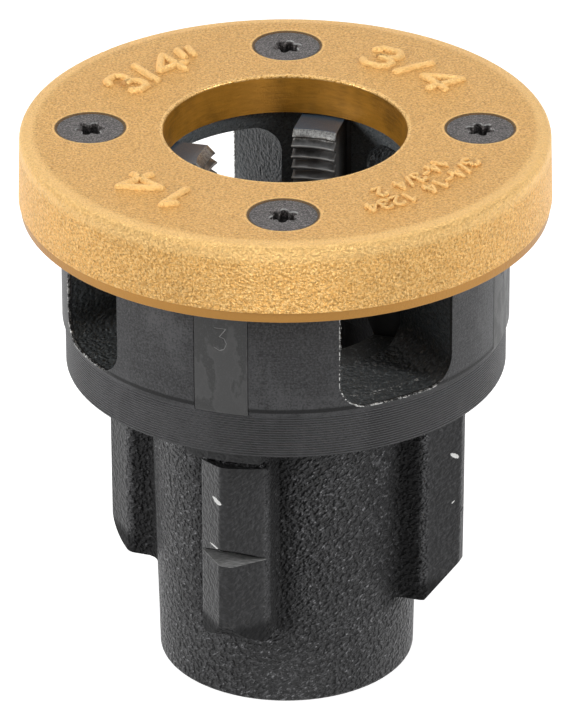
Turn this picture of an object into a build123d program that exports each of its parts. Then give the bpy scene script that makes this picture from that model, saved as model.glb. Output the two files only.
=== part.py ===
from build123d import *
from math import cos, radians, sin, sqrt, tan
import os

os.makedirs("parts", exist_ok=True)

# Pipe threading die head, sizes in millimetres.
# The axis is Z, the sleeve's free end is on Z = 0 and the cover is on top.
# Azimuths are in degrees round the axis, from -Y towards +X.

# Heights along the axis
overall_height = 88.45
cover_height = 12.35
cover_disc = 6.2
top_rim = 3.3
window_sill = 58.05
slot_depth = 1.05
head_underside = 50.25

# Turned head and cast sleeve of the body
head_radius = 34.05
band_radius = 33.6
step_height = 1.0
cavity_radius = 20.2
sleeve_end_radius = 19.7
sleeve_draft = 1.25
sleeve_edge = 0.6
sleeve_root = 1.6
guide_radius = 13.9
guide_chamfer = 1.0
throat_radius = 16.0
throat_slope = 45.0

# Chip windows
wide_window_azimuth = 30.7
wide_window_width = 19.3
narrow_window_azimuth = -60.6
narrow_window_width = 15.9
window_sill_corner = 4.2
window_top_corner = 6.0

# Dies in their slots: each bar lies to one side of the head's axis
die_count = 4
first_die_azimuth = 166.2
die_offset = 1.25
slot_width = 8.35
die_side_gap = 0.05
die_top_gap = 0.4
nose_width = 6.8
nose_length = 7.4
crest_radius = 12.2
crest_chamfer = 1.6
first_crest_drop = 2.35
thread_pitch = 1.814
thread_height = 1.2
thread_half_angle = 30.0
thread_taper = 1.79
lead_radius = 15.6
lead_slope = 22.0

# Ribs that take the drive, at the corners of one square
rib_count = 4
front_rib_azimuth = -18.4
drive_across_flats = 41.6
corner_trim = 0.7
land_draft = 0.65
rib_width = 10.8
rib_edge = 2.0
rib_bottom = 14.0
rib_toe = 4.6
rib_root = 2.4
rib_top = 45.0
relief_height = 1.1
relief_slope = 22.0
collar_overhang = 0.9
collar_width = 12.0

# Catch notches across the front and back ribs, the shallow one on the right and its slanting toe
notch_floor = 28.0
notch_root_radius = 24.0
notch_height = 3.0
shallow_notch_depth = 0.35
toe_cut_depth = 4.6
toe_cut_height = 5.7

# Cover
skirt_wall = 5.8
cover_draft = 1.5
crown_width = 3.2
crown_drop = 0.28
cover_edge = 1.05
rim_band_height = 1.6
cover_hole_radius = 18.4
cover_hole_edge = 0.6
skirt_gap = 0.15

# Countersunk screws, M5
screw_count = 4
screw_circle_radius = 29.3
screw_radius = 2.5
screw_hole_gap = 0.05
head_radius_of_screw = 5.1
screw_sink = 0.15
countersink_angle = 90.0
screw_length = 16.0
screw_tip = 0.6
tapped_depth = 13.0
lobe_count = 6
lobe_circle_radius = 1.62
lobe_radius = 0.62
lobe_core_radius = 1.55
lobe_depth = 1.9

# Sizes that follow from those above
cover_bottom = overall_height - cover_height
body_top = overall_height - cover_disc
slot_floor = window_sill - slot_depth
window_ceiling = body_top - top_rim
window_middle = (window_ceiling + window_sill) / 2
sleeve_top_radius = sleeve_end_radius + head_underside * tan(radians(sleeve_draft))
throat_drop = (throat_radius - guide_radius) * tan(radians(throat_slope))
die_top = body_top - die_top_gap
die_width = slot_width - 2 * die_side_gap
nose_end = crest_radius + nose_length
skirt_radius = head_radius + skirt_gap
cover_radius = skirt_radius + skirt_wall
rib_corner_radius = drive_across_flats / sqrt(2)
rib_edge_radius = rib_corner_radius - rib_width / 2
land_radius = rib_corner_radius - corner_trim
collar_radius = land_radius + collar_overhang
rib_inner_radius = (guide_radius + sleeve_end_radius) / 2
collar_foot = rib_top + relief_height
sleeve_foot_radius = sleeve_end_radius + rib_bottom * tan(radians(sleeve_draft))
screw_top = overall_height - screw_sink
thread_flank = thread_height * tan(radians(thread_half_angle))
thread_flat = thread_pitch / 2 - thread_flank


def direction(azimuth):
    """Unit vector that points outwards at an azimuth."""
    return Vector(sin(radians(azimuth)), -cos(radians(azimuth)), 0)


def die_centre(azimuth, height=0):
    """Point on the upright line that a die's teeth are ground round, beside the head's axis."""
    return direction(azimuth - 90) * die_offset + Vector(0, 0, height)


def die_plane(azimuth, height):
    """Level plane at a height, its x along the middle of the die at the azimuth."""
    return Plane(origin=die_centre(azimuth, height), x_dir=direction(azimuth), z_dir=(0, 0, 1))


def side_plane(azimuth, origin=(0, 0, 0)):
    """Upright plane through a point, its x outwards at the azimuth and its y up."""
    outwards = direction(azimuth)
    return Plane(origin=origin, x_dir=outwards, z_dir=outwards.cross(Vector(0, 0, 1)))


def facing_plane(azimuth, radius, height):
    """Upright plane at a radius and a height that looks back at the axis."""
    outwards = direction(azimuth)
    origin = outwards * radius + Vector(0, 0, height)
    return Plane(origin=origin, x_dir=outwards.cross(Vector(0, 0, 1)), z_dir=-outwards)


# Rib: two V faces of the drive square, a turned land on the corner, a rounded toe
with BuildPart() as rib:
    with BuildSketch(Plane.XY.offset(rib_bottom)) as rib_plan:
        with BuildLine():
            Polyline(
                (rib_inner_radius, -rib_width / 2),
                (rib_edge_radius, -rib_width / 2),
                (land_radius, -corner_trim),
                (land_radius, corner_trim),
                (rib_edge_radius, rib_width / 2),
                (rib_inner_radius, rib_width / 2),
                close=True,
            )
        make_face()
        Circle(sleeve_foot_radius)
        rib_flanks = rib_plan.edges().filter_by(Axis.X)
        fillet(rib_flanks.vertices().group_by(Axis.X)[-1], radius=rib_edge)
        rib_flanks = rib_plan.edges().filter_by(Axis.X)
        # The root fillet is limited by the length of the flank
        root_radius = min(rib_root, rib_flanks.sort_by(SortBy.LENGTH)[0].length)
        fillet(rib_flanks.vertices().group_by(Axis.X)[0], radius=root_radius)
    extrude(amount=head_underside - rib_bottom)
    land_foot_radius = land_radius - (head_underside - rib_bottom) * tan(radians(land_draft))
    with BuildSketch(Plane.XZ) as rib_side:
        with BuildLine():
            Polyline(
                (rib_inner_radius, rib_bottom),
                (land_foot_radius, rib_bottom),
                (land_radius, head_underside),
                (rib_inner_radius, head_underside),
                close=True,
            )
        make_face()
        toe_corner = rib_side.vertices().sort_by(Axis.X)[2]
        fillet(toe_corner, radius=rib_toe)
    extrude(amount=rib_width, both=True, mode=Mode.INTERSECT)

# Collar: the round end of a rib, between its relief groove and the head
with BuildPart() as collar:
    with BuildSketch(Plane.XY.offset(collar_foot)):
        Circle(collar_radius)
        Rectangle(
            2 * collar_radius,
            collar_width,
            align=(Align.MIN, Align.CENTER),
            mode=Mode.INTERSECT,
        )
    extrude(amount=head_underside - collar_foot)

# Body: one casting of slotted head, turned band, guide sleeve and four ribs
with BuildPart() as body:
    with BuildSketch(Plane.XZ) as body_profile:
        with BuildLine():
            Polyline(
                (0, 0),
                (sleeve_end_radius, 0),
                (sleeve_top_radius, head_underside - sleeve_root),
                (sleeve_top_radius + sleeve_root, head_underside),
                (band_radius, head_underside),
                (band_radius, slot_floor),
                (head_radius, slot_floor + step_height),
                (head_radius, body_top),
                (0, body_top),
                close=True,
            )
        make_face()
        sleeve_end = body_profile.vertices().group_by(Axis.Y)[0]
        fillet(sleeve_end.sort_by(Axis.X)[-1], radius=sleeve_edge)
    revolve(axis=Axis.Z)
    with PolarLocations(0, rib_count, start_angle=front_rib_azimuth - 90):
        add(rib.part)
        add(collar.part)

    # Relief groove turned into the tops of the ribs
    with BuildSketch(Plane.XZ):
        groove_reach = collar_radius + relief_height
        groove_rise = (groove_reach - land_radius) * tan(radians(relief_slope))
        groove_fall = (land_radius - rib_edge_radius) * tan(radians(relief_slope))
        with BuildLine():
            Polyline(
                (rib_edge_radius, rib_top - groove_fall),
                (groove_reach, rib_top + groove_rise),
                (groove_reach, rib_top + relief_height + groove_rise),
                (rib_edge_radius, rib_top + relief_height),
                close=True,
            )
        make_face()
    revolve(axis=Axis.Z, mode=Mode.SUBTRACT)

    # Catch notches with a level floor, straight across a rib
    for azimuth in (front_rib_azimuth, front_rib_azimuth + 180):
        with BuildSketch(side_plane(azimuth)):
            with BuildLine():
                Polyline(
                    (notch_root_radius, notch_floor),
                    (collar_radius, notch_floor),
                    (collar_radius, notch_floor + notch_height),
                    (land_radius, notch_floor + notch_height),
                    close=True,
                )
            make_face()
        extrude(amount=rib_width, both=True, mode=Mode.SUBTRACT)
    with BuildSketch(side_plane(front_rib_azimuth + 90)):
        with BuildLine():
            Polyline(
                (land_radius - shallow_notch_depth, notch_floor),
                (land_radius + shallow_notch_depth, notch_floor),
                (land_radius + shallow_notch_depth, notch_floor + 2 * notch_height),
                close=True,
            )
        make_face()
        # Slanting cut across the toe of the same rib
        with BuildLine():
            Polyline(
                (land_radius - toe_cut_depth, rib_bottom),
                (land_radius, rib_bottom),
                (land_radius, rib_bottom + toe_cut_height),
                close=True,
            )
        make_face()
    extrude(amount=rib_width, both=True, mode=Mode.SUBTRACT)

    # Bore of the guide, the throat above it and the chip cavity
    with BuildSketch(Plane.XZ):
        with BuildLine():
            Polyline(
                (0, 0),
                (guide_radius + guide_chamfer, 0),
                (guide_radius, guide_chamfer),
                (guide_radius, window_sill - throat_drop),
                (throat_radius, window_sill),
                (cavity_radius, window_sill),
                (cavity_radius, body_top),
                (0, body_top),
                close=True,
            )
        make_face()
    revolve(axis=Axis.Z, mode=Mode.SUBTRACT)

    # Chip windows, two wide and two narrow, with rounder corners on top
    for azimuth, width in (
        (wide_window_azimuth, wide_window_width),
        (wide_window_azimuth + 180, wide_window_width),
        (narrow_window_azimuth, narrow_window_width),
        (narrow_window_azimuth + 180, narrow_window_width),
    ):
        with BuildSketch(facing_plane(azimuth, head_radius + skirt_gap, window_middle)) as window:
            Rectangle(width, window_ceiling - window_sill)
            corner_levels = window.vertices().group_by(Axis.Z)
            fillet(corner_levels[0], radius=window_sill_corner)
            fillet(corner_levels[-1], radius=window_top_corner)
        window_reach = head_radius + skirt_gap - sqrt(cavity_radius ** 2 - (width / 2) ** 2)
        extrude(amount=window_reach, mode=Mode.SUBTRACT)

    # Die slots, open at the top and at both ends
    for index in range(die_count):
        azimuth = first_die_azimuth + index * 360 / die_count
        with BuildSketch(die_plane(azimuth, slot_floor)):
            with Locations((crest_radius, 0)):
                Rectangle(head_radius, slot_width, align=(Align.MIN, Align.CENTER))
        extrude(amount=body_top - slot_floor, mode=Mode.SUBTRACT)

    # Tapped holes for the cover screws
    with Locations(Plane.XY.offset(body_top)):
        with PolarLocations(screw_circle_radius, screw_count):
            Hole(radius=screw_radius + screw_hole_gap, depth=tapped_depth)

body.part.label = "body"
export_step(body.part, "parts/body.step")


def crest_at(height):
    """Radius of the thread crests at a height: the thread opens towards the sleeve."""
    return crest_radius + (die_top - height) * tan(radians(thread_taper))


def thread_outline(first_crest):
    """Half section of the pipe space, with one groove above each crest."""
    crest = first_crest
    while crest < die_top + thread_pitch:
        crest += thread_pitch
    points = [(0, crest + thread_pitch), (crest_at(crest), crest + thread_pitch)]
    while crest > slot_floor:
        upper_root = crest + thread_flat / 2 + thread_flank + thread_flat
        upper_crest = upper_root + thread_flank
        lower_root = upper_root - thread_flat
        lower_crest = crest + thread_flat / 2
        points.append((crest_at(upper_crest), upper_crest))
        points.append((crest_at(upper_root) + thread_height, upper_root))
        points.append((crest_at(lower_root) + thread_height, lower_root))
        points.append((crest_at(lower_crest), lower_crest))
        crest -= thread_pitch
    points.append((crest_at(slot_floor), slot_floor))
    points.append((0, slot_floor))
    return points


# Dies: four chasers whose teeth step by a quarter of the pitch from one to the next
for index in range(die_count):
    azimuth = first_die_azimuth + index * 360 / die_count
    first_crest = die_top - first_crest_drop - index * thread_pitch / die_count
    grinding_axis = Axis(die_centre(azimuth), (0, 0, 1))
    with BuildPart() as die:
        with BuildSketch(die_plane(azimuth, slot_floor)):
            with Locations((nose_end, 0)):
                Rectangle(head_radius, die_width, align=(Align.MIN, Align.CENTER))
                Rectangle(nose_end, nose_width, align=(Align.MAX, Align.CENTER))
            with Locations((0, die_offset)):
                Circle(head_radius, mode=Mode.INTERSECT)
        extrude(amount=die_top - slot_floor)
        with BuildSketch(side_plane(azimuth, die_centre(azimuth))):
            with BuildLine():
                Polyline(thread_outline(first_crest), close=True)
            make_face()
        revolve(axis=grinding_axis, mode=Mode.SUBTRACT)
        # Chamfer on the cover's side, and the lead on the side where the pipe enters
        with BuildSketch(side_plane(azimuth, die_centre(azimuth))):
            chamfer_depth = crest_radius + crest_chamfer
            with BuildLine():
                Polyline(
                    (0, die_top),
                    (chamfer_depth, die_top),
                    (0, die_top - chamfer_depth),
                    close=True,
                )
            make_face()
            lead_height = lead_radius / tan(radians(lead_slope))
            with BuildLine():
                Polyline(
                    (0, slot_floor),
                    (lead_radius, slot_floor),
                    (0, slot_floor + lead_height),
                    close=True,
                )
            make_face()
        revolve(axis=grinding_axis, mode=Mode.SUBTRACT)
        # Foot of the outer end, turned together with the step of the head
        with BuildSketch(Plane.XZ):
            with BuildLine():
                Polyline(
                    (band_radius, slot_floor),
                    (head_radius, slot_floor),
                    (head_radius, slot_floor + step_height),
                    close=True,
                )
            make_face()
        revolve(axis=Axis.Z, mode=Mode.SUBTRACT)
    die.part.label = f"die_{index + 1}"
    export_step(die.part, f"parts/die_{index + 1}.step")

# Cover: a cast cap whose skirt holds the outer ends of the dies
with BuildPart() as cover:
    with BuildSketch(Plane.XZ) as cover_profile:
        rim_drop = cover_height - rim_band_height
        rim_foot_radius = cover_radius + rim_drop * tan(radians(cover_draft))
        with BuildLine():
            top_line = Line(
                (cover_hole_radius, overall_height),
                (cover_radius - crown_width, overall_height),
            )
            crown = TangentArc(
                top_line @ 1,
                (cover_radius, overall_height - crown_drop),
                tangent=top_line % 1,
            )
            Polyline(
                crown @ 1,
                (rim_foot_radius, cover_bottom + rim_band_height),
                (cover_radius, cover_bottom + rim_band_height),
                (cover_radius, cover_bottom),
                (skirt_radius, cover_bottom),
                (skirt_radius, body_top),
                (cover_hole_radius, body_top),
                top_line @ 0,
            )
        make_face()
        top_corners = cover_profile.vertices().filter_by_position(
            Axis.Y, overall_height - crown_drop, overall_height
        )
        fillet(top_corners.sort_by(Axis.X)[-1], radius=cover_edge)
        fillet(top_corners.sort_by(Axis.X)[0], radius=cover_hole_edge)
    revolve(axis=Axis.Z)
    with Locations(Plane.XY.offset(overall_height)):
        with PolarLocations(screw_circle_radius, screw_count):
            CounterSinkHole(
                radius=screw_radius + screw_hole_gap,
                counter_sink_radius=head_radius_of_screw + screw_sink,
                counter_sink_angle=countersink_angle,
            )

cover.part.label = "cover"
export_step(cover.part, "parts/cover.step")

# Countersunk screw with a six-lobe recess
with BuildPart() as screw:
    head_depth = (head_radius_of_screw - screw_radius) / tan(radians(countersink_angle / 2))
    with BuildSketch(Plane.XZ):
        with BuildLine():
            Polyline(
                (0, screw_top),
                (head_radius_of_screw, screw_top),
                (screw_radius, screw_top - head_depth),
                (screw_radius, screw_top - screw_length + screw_tip),
                (screw_radius - screw_tip, screw_top - screw_length),
                (0, screw_top - screw_length),
                close=True,
            )
        make_face()
    revolve(axis=Axis.Z)
    with BuildSketch(Plane.XY.offset(screw_top)):
        Circle(lobe_core_radius)
        with PolarLocations(lobe_circle_radius, lobe_count):
            Circle(lobe_radius)
    extrude(amount=-lobe_depth, mode=Mode.SUBTRACT)

# The four cover screws
with BuildPart() as cover_screws:
    with PolarLocations(screw_circle_radius, screw_count):
        add(screw.part)

cover_screws.part.label = "cover_screws"
export_step(cover_screws.part, "parts/cover_screws.step")
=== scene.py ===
import math

import bmesh
import bpy
from bpy.props import FloatProperty, FloatVectorProperty, IntProperty, PointerProperty
from mathutils import Matrix, Vector


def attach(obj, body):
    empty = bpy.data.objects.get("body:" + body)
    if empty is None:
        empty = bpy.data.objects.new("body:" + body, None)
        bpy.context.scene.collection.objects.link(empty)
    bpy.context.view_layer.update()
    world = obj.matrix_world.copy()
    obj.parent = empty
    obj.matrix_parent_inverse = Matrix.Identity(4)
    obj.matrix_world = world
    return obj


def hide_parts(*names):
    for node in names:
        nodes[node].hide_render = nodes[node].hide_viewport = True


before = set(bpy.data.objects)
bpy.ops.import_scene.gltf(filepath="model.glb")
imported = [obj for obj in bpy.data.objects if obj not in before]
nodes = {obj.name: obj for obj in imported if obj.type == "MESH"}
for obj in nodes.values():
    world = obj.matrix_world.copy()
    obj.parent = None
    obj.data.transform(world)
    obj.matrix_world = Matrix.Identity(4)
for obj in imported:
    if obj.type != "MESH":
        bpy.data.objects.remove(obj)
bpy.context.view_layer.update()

bl_info = {
    "name": "Pipe Threading Die Head",
    "version": (1, 0, 0),
    "blender": (4, 5, 0),
    "location": "3D View > Sidebar > Die Head",
    "description": "Dresses the packed pipe threading die head with its finishes, marks and screws",
    "category": "Object",
}

MM = 0.001
BODY = "root"

# Places on the object, in millimetres and in degrees from the front towards the right
COVER_TOP = 88.45
COVER_BOTTOM = 76.1
FLAT_RADIUS = 36.0
SHOULDER = (37.2, 38.4)
RIM = (39.35, 39.8)
RIM_BAND = 1.6
HOLE_RADIUS = 18.4
HEAD_UNDERSIDE = 50.25
HEAD_RADIUS = 34.05
STEP_TOP = 58.0
STEP_FOOT = 57.0
CAVITY_RADIUS = 20.2
GUIDE_RADIUS = 13.9
FRONT_RIB = -18.4
RIB_HALF = 5.4
RIB_FACE = 24.6
DRIVE_HALF = 20.8
LAND_RADIUS = 28.0
NOTCH_FLOOR = 28.0
TOE = 14.0
SCREW_CIRCLE = 29.3
SCREW_TOP = 88.3
SCREW_HEAD = 5.1
SCREW_COUNT = 4
SCREW_SEED = 3
SCREW_TURN = 1.05  # most that a screw is turned in radians, after which its six lobes repeat

# The windows' azimuths and widths, with an opposite window to each, and their outline
WINDOWS = ((30.7, 19.3), (-60.6, 15.9))
SILL = 58.05
SILL_CORNER = 4.2
WINDOW_TOP = 88.95  # above the real top edges, which the cover hides and which aren't worn
BURR_TOP = 75.6
BURR_WANDER = 0.1
BURR_TURN = 6.28
BURR_SHARES = ((0.25, 0.15, 0.4), (0.8, 0.6, 1.3))  # smallest and largest on each axis, of the largest burr
INNER_LINE = 30.6

# The dies lie to one side of the axis, with threads on a cone about their own centre
DIE_AZIMUTHS = (166.2, 256.2, 346.2, 436.2)
DIE_OFFSET = 1.25
DIE_TOP = 81.85
DIE_LEAD = 1.6
LEAD_RADIUS = 13.95
TEETH_RADIUS = 15.6
CREST_RADIUS = 12.2
THREAD_TAPER = 1.79
STAMP_FOOT = 67.7
STAMP_HEIGHT = 3.65
STAMP_WIDTH = 3.3
STAMP_SHIFT = -2.2

# Bare nicks in the ribs: both ends, the width and how ragged the outline is
NICKS = (
    ((-10.9, -24.9, 38.75), (-9.6, -27.4, 38.7), 0.9, 0.2),
    ((-11.2, -24.1, 30.45), (-9.9, -26.7, 30.65), 0.32, 0.3),
    ((25.2, -10.65, 38.5), (26.4, -10.05, 37.6), 0.7, 0.2),
    ((25.85, -10.3, 30.3), (25.35, -10.57, 29.85), 0.22, 0.2),
)

# Raised marks: a glyph and the azimuths where it starts and ends
LARGE_MARKS = (
    ("3", -118.6, -125.6), ("/", -130.0, -132.9), ("4", -135.8, -145.6), ("ticks", -147.6, -152.2),
    ("3", 154.0, 144.5), ("/", 139.5, 135.5), ("4", 131.0, 119.0),
    ("1", -30.0, -37.0), ("4", -41.0, -54.0),
)
MARK_MARGIN = 0.5  # left free at a large mark's foot and head for the roundness of its strokes

# Small raised numbers: the radius of a row's foot, the azimuth where it starts and its text
SMALL_ROWS = ((28.9, 68.0, "3/4-14 1234"), (25.0, 63.0, "14-3/4 2"))
SMALL_PITCH = 4.1
SMALL_WIDTH = 2.9
SMALL_HEIGHT = 2.5
SMALL_ROUND = 0.32
SMALL_RISE = 0.42

# Roundings of the ground dies and the screws
DIE_EDGE = 0.06
SCREW_EDGE = 0.16

# Least angles in degrees of an edge that is rounded and of one that is shaded sharp
ROUNDED_ANGLE = 40
SHARP_ANGLE = 38

# Least length of an upright rib edge, and longest pieces of the lines that marks and burrs follow
RIB_EDGE = 6.0
MARK_PIECE = 0.5
STAMP_PIECE = 0.06
BURR_PIECE = 0.4

# Lamps: name, azimuth and elevation in degrees, distance, width and height in metres, and power in watts
LAMPS = (
    ("lamp_left", -70, 24, 0.75, 0.2, 0.3, 4.2),
    ("lamp_right", 70, 24, 0.75, 0.2, 0.3, 4.0),
    ("lamp_top", -10, 62, 0.8, 0.3, 0.3, 0.4),
    ("lamp_back", -160, 40, 0.9, 0.5, 0.35, 1.6),
)
LAMP_AIM = 50.0
WORLD_LIGHT = 0.09
FLOOR_SIZE = 8.0
FLOOR_DROP = 0.05  # in millimetres, so that the sleeve's end doesn't share the floor's plane
FLOOR_GREY = 0.6
FLOOR_GLOW = 0.8


def linear(red, green, blue):
    """Scene colour of an sRGB colour given from 0 to 255."""
    def channel(value):
        value /= 255
        return value / 12.92 if value <= 0.04045 else ((value + 0.055) / 1.055) ** 2.4
    return (channel(red), channel(green), channel(blue))


# Finishes, painted light and painted highlights that aren't the user's to choose
WHITE = (1.0, 1.0, 1.0, 1.0)
MILLED = (linear(96, 96, 96), linear(150, 150, 149))
GROUND = (linear(92, 92, 91), linear(150, 150, 148))
# The chip walls' lower and upper colours: lighter than the outer iron, and lighter towards the top, as
# painted light.
CHIP_WALL_PAINTED_LIGHT = (linear(70, 73, 74), linear(94, 99, 102))
CHIP_PIT = linear(46, 48, 49)
# Painted glints on the chip walls.
CHIP_GLINT = linear(130, 134, 135)
TOOTH = linear(124, 125, 126)
DIE_SHEEN = linear(78, 97, 116)
DIE_GRAIN = linear(120, 120, 120)
STAMP_HIGHLIGHT = linear(132, 132, 132)


def outwards(azimuth):
    """Level unit vector at an azimuth in degrees."""
    return Vector((math.sin(math.radians(azimuth)), -math.cos(math.radians(azimuth)), 0))


def sideways(azimuth):
    """Level unit vector across an azimuth, to the right seen from outside."""
    return Vector((math.cos(math.radians(azimuth)), math.sin(math.radians(azimuth)), 0))


def on_axis(azimuth, radius, height):
    """Point in metres from cylinder coordinates in degrees and millimetres."""
    return (outwards(azimuth) * radius + Vector((0, 0, height))) * MM


# Sizes and colours that a user would change

class DieHeadSizes(bpy.types.PropertyGroup):
    mark_foot: FloatProperty(
        name="Mark foot", description="Radius of the foot of the large raised marks",
        default=25.2 * MM, unit="LENGTH")
    mark_height: FloatProperty(
        name="Mark height", description="Radial height of the large raised marks",
        default=7.0 * MM, unit="LENGTH")
    mark_stroke: FloatProperty(
        name="Mark stroke", description="Width of a stroke of the large raised marks",
        default=1.4 * MM, unit="LENGTH")
    mark_relief: FloatProperty(
        name="Mark relief", description="How far the marks stand above the cover",
        default=0.6 * MM, unit="LENGTH")
    stamp_stroke: FloatProperty(
        name="Stamp stroke", description="Width of the numbers stamped into the dies",
        default=0.2 * MM, unit="LENGTH")
    cast_edge: FloatProperty(
        name="Cast edge", description="Rounding of the cast edges of the ribs and of the cover's holes",
        default=0.32 * MM, unit="LENGTH")
    turned_edge: FloatProperty(
        name="Turned edge", description="Rounding of the turned and milled edges",
        default=0.12 * MM, unit="LENGTH")
    line_feed: FloatProperty(
        name="Line feed", description="Spacing of the turned lines on the band",
        default=0.4 * MM, unit="LENGTH")
    burr_size: FloatProperty(
        name="Burr size", description="Largest burr along the edges of the windows",
        default=0.3 * MM, unit="LENGTH")
    burr_spacing: FloatProperty(
        name="Burr spacing", description="Distance between burrs along an edge",
        default=0.3 * MM, unit="LENGTH")
    burr_seed: IntProperty(
        name="Burr seed", description="Changes the scatter of the burrs", default=7)


class DieHeadColours(bpy.types.PropertyGroup):
    gold: FloatVectorProperty(
        name="Gold", description="Paint on the cover",
        default=linear(233, 177, 96), subtype="COLOR", min=0, max=1)
    # Pale gold also paints the highlights on the raised marks, the rim's shoulder, the hole's lip and round
    # the screws.
    gold_pale: FloatVectorProperty(
        name="Pale gold", description="Paint on raised grain, marks and edges",
        default=linear(254, 212, 140), subtype="COLOR", min=0, max=1)
    gold_deep: FloatVectorProperty(
        name="Deep gold", description="Thin paint on the lower band of the rim",
        default=linear(176, 126, 56), subtype="COLOR", min=0, max=1)
    # Bore gold is darkened inside the hole as painted shade, and at its darkest it is the painted shadow in
    # the gaps round the screws.
    gold_bore: FloatVectorProperty(
        name="Bore gold", description="Thin oiled paint inside the hole",
        default=linear(208, 146, 50), subtype="COLOR", min=0, max=1)
    iron: FloatVectorProperty(
        name="Iron", description="Blackened iron of the body",
        default=linear(54, 54, 55), subtype="COLOR", min=0, max=1)
    bare_iron: FloatVectorProperty(
        name="Bare iron", description="Metal laid bare at nicks and edges",
        default=linear(205, 205, 203), subtype="COLOR", min=0, max=1)
    steel: FloatVectorProperty(
        name="Steel", description="Ground and oxidised steel of the dies",
        default=linear(60, 60, 60), subtype="COLOR", min=0, max=1)
    screw: FloatVectorProperty(
        name="Screw", description="Blackened steel of the cover screws",
        default=linear(78, 74, 73), subtype="COLOR", min=0, max=1)


class DieHeadStage(bpy.types.PropertyGroup):
    distance: FloatProperty(
        name="Camera distance", description="From the camera to the point that it looks at",
        default=1.0336, unit="LENGTH")
    elevation: FloatProperty(
        name="Camera elevation", description="Above the horizon",
        default=math.radians(27.64), subtype="ANGLE")
    azimuth: FloatProperty(
        name="Camera azimuth", description="Round the axis from the front towards the right",
        default=math.radians(0.63), subtype="ANGLE")
    roll: FloatProperty(
        name="Camera roll", description="Turn of the camera about its own view",
        default=math.radians(-0.18), subtype="ANGLE")
    lens: FloatProperty(name="Lens", description="Focal length in millimetres", default=337.86)
    target_height: FloatProperty(
        name="Target height", description="Height of the point that the camera looks at",
        default=49.05 * MM, unit="LENGTH")
    target_shift: FloatProperty(
        name="Target shift", description="The point's place to the right of the axis",
        default=-0.15 * MM, unit="LENGTH")


# Shader maths

class Maths:
    """A node's output socket, on which Python's operators add Math nodes."""

    def __init__(self, tree, socket):
        self.tree = tree
        self.socket = socket

    def node(self, operation, *values, clamp=False):
        settings = {"operation": operation, "use_clamp": clamp}
        return self.tree.add("ShaderNodeMath", settings, dict(enumerate(values)))

    def __add__(self, other): return self.node("ADD", self, other)
    def __radd__(self, other): return self.node("ADD", other, self)
    def __sub__(self, other): return self.node("SUBTRACT", self, other)
    def __rsub__(self, other): return self.node("SUBTRACT", other, self)
    def __mul__(self, other): return self.node("MULTIPLY", self, other)
    def __rmul__(self, other): return self.node("MULTIPLY", other, self)
    def __truediv__(self, other): return self.node("DIVIDE", self, other)
    def __pow__(self, other): return self.node("POWER", self, other)
    def __abs__(self): return self.node("ABSOLUTE", self)
    def least(self, other): return self.node("MINIMUM", self, other)
    def most(self, other): return self.node("MAXIMUM", self, other)
    def sine(self): return self.node("SINE", self)
    def sign(self): return self.node("SIGN", self)
    def cut(self): return self.node("ADD", self, 0.0, clamp=True)

    def step(self, start, end):
        """Smooth step from zero where this value is start to one where it is end."""
        low, high = (0.0, 1.0) if start < end else (1.0, 0.0)
        values = {
            "Value": self, "From Min": min(start, end), "From Max": max(start, end),
            "To Min": low, "To Max": high}
        return self.tree.add("ShaderNodeMapRange", {"interpolation_type": "SMOOTHSTEP"}, values, "Result")

    def near(self, value, reach, soft=0.3):
        """One where this value is within reach of a value, softening over the last part."""
        return abs(self - value).step(reach, reach * (1 - soft))


class Tree:
    """A node tree whose nodes come from one method."""

    def __init__(self, tree):
        self.nodes, self.links = tree.nodes, tree.links
        self.nodes.clear()

    def add(self, kind, settings=None, values=None, output=0):
        """Adds a node with its settings and the values or links of its sockets."""
        node = self.nodes.new(kind)
        for key, value in (settings or {}).items():
            setattr(node, key, value)
        for key, value in (values or {}).items():
            socket = node.inputs[key]
            if isinstance(value, Maths):
                self.links.new(value.socket, socket)
            else:
                socket.default_value = value
        return Maths(self, node.outputs[output])

    def parts(self, first):
        """All the outputs of the node that a first output belongs to."""
        return [Maths(self, socket) for socket in first.socket.node.outputs]

    def seen(self):
        """One for the rays that see the background: camera, glossy and transmission rays."""
        rays = self.add("ShaderNodeLightPath", output="Is Camera Ray")
        for kind in ("Is Glossy Ray", "Is Transmission Ray"):
            rays = rays.most(self.add("ShaderNodeLightPath", output=kind))
        return rays

    def end(self, kind, last):
        """Adds the output node."""
        self.links.new(last.socket, self.nodes.new(kind).inputs[0])


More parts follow.
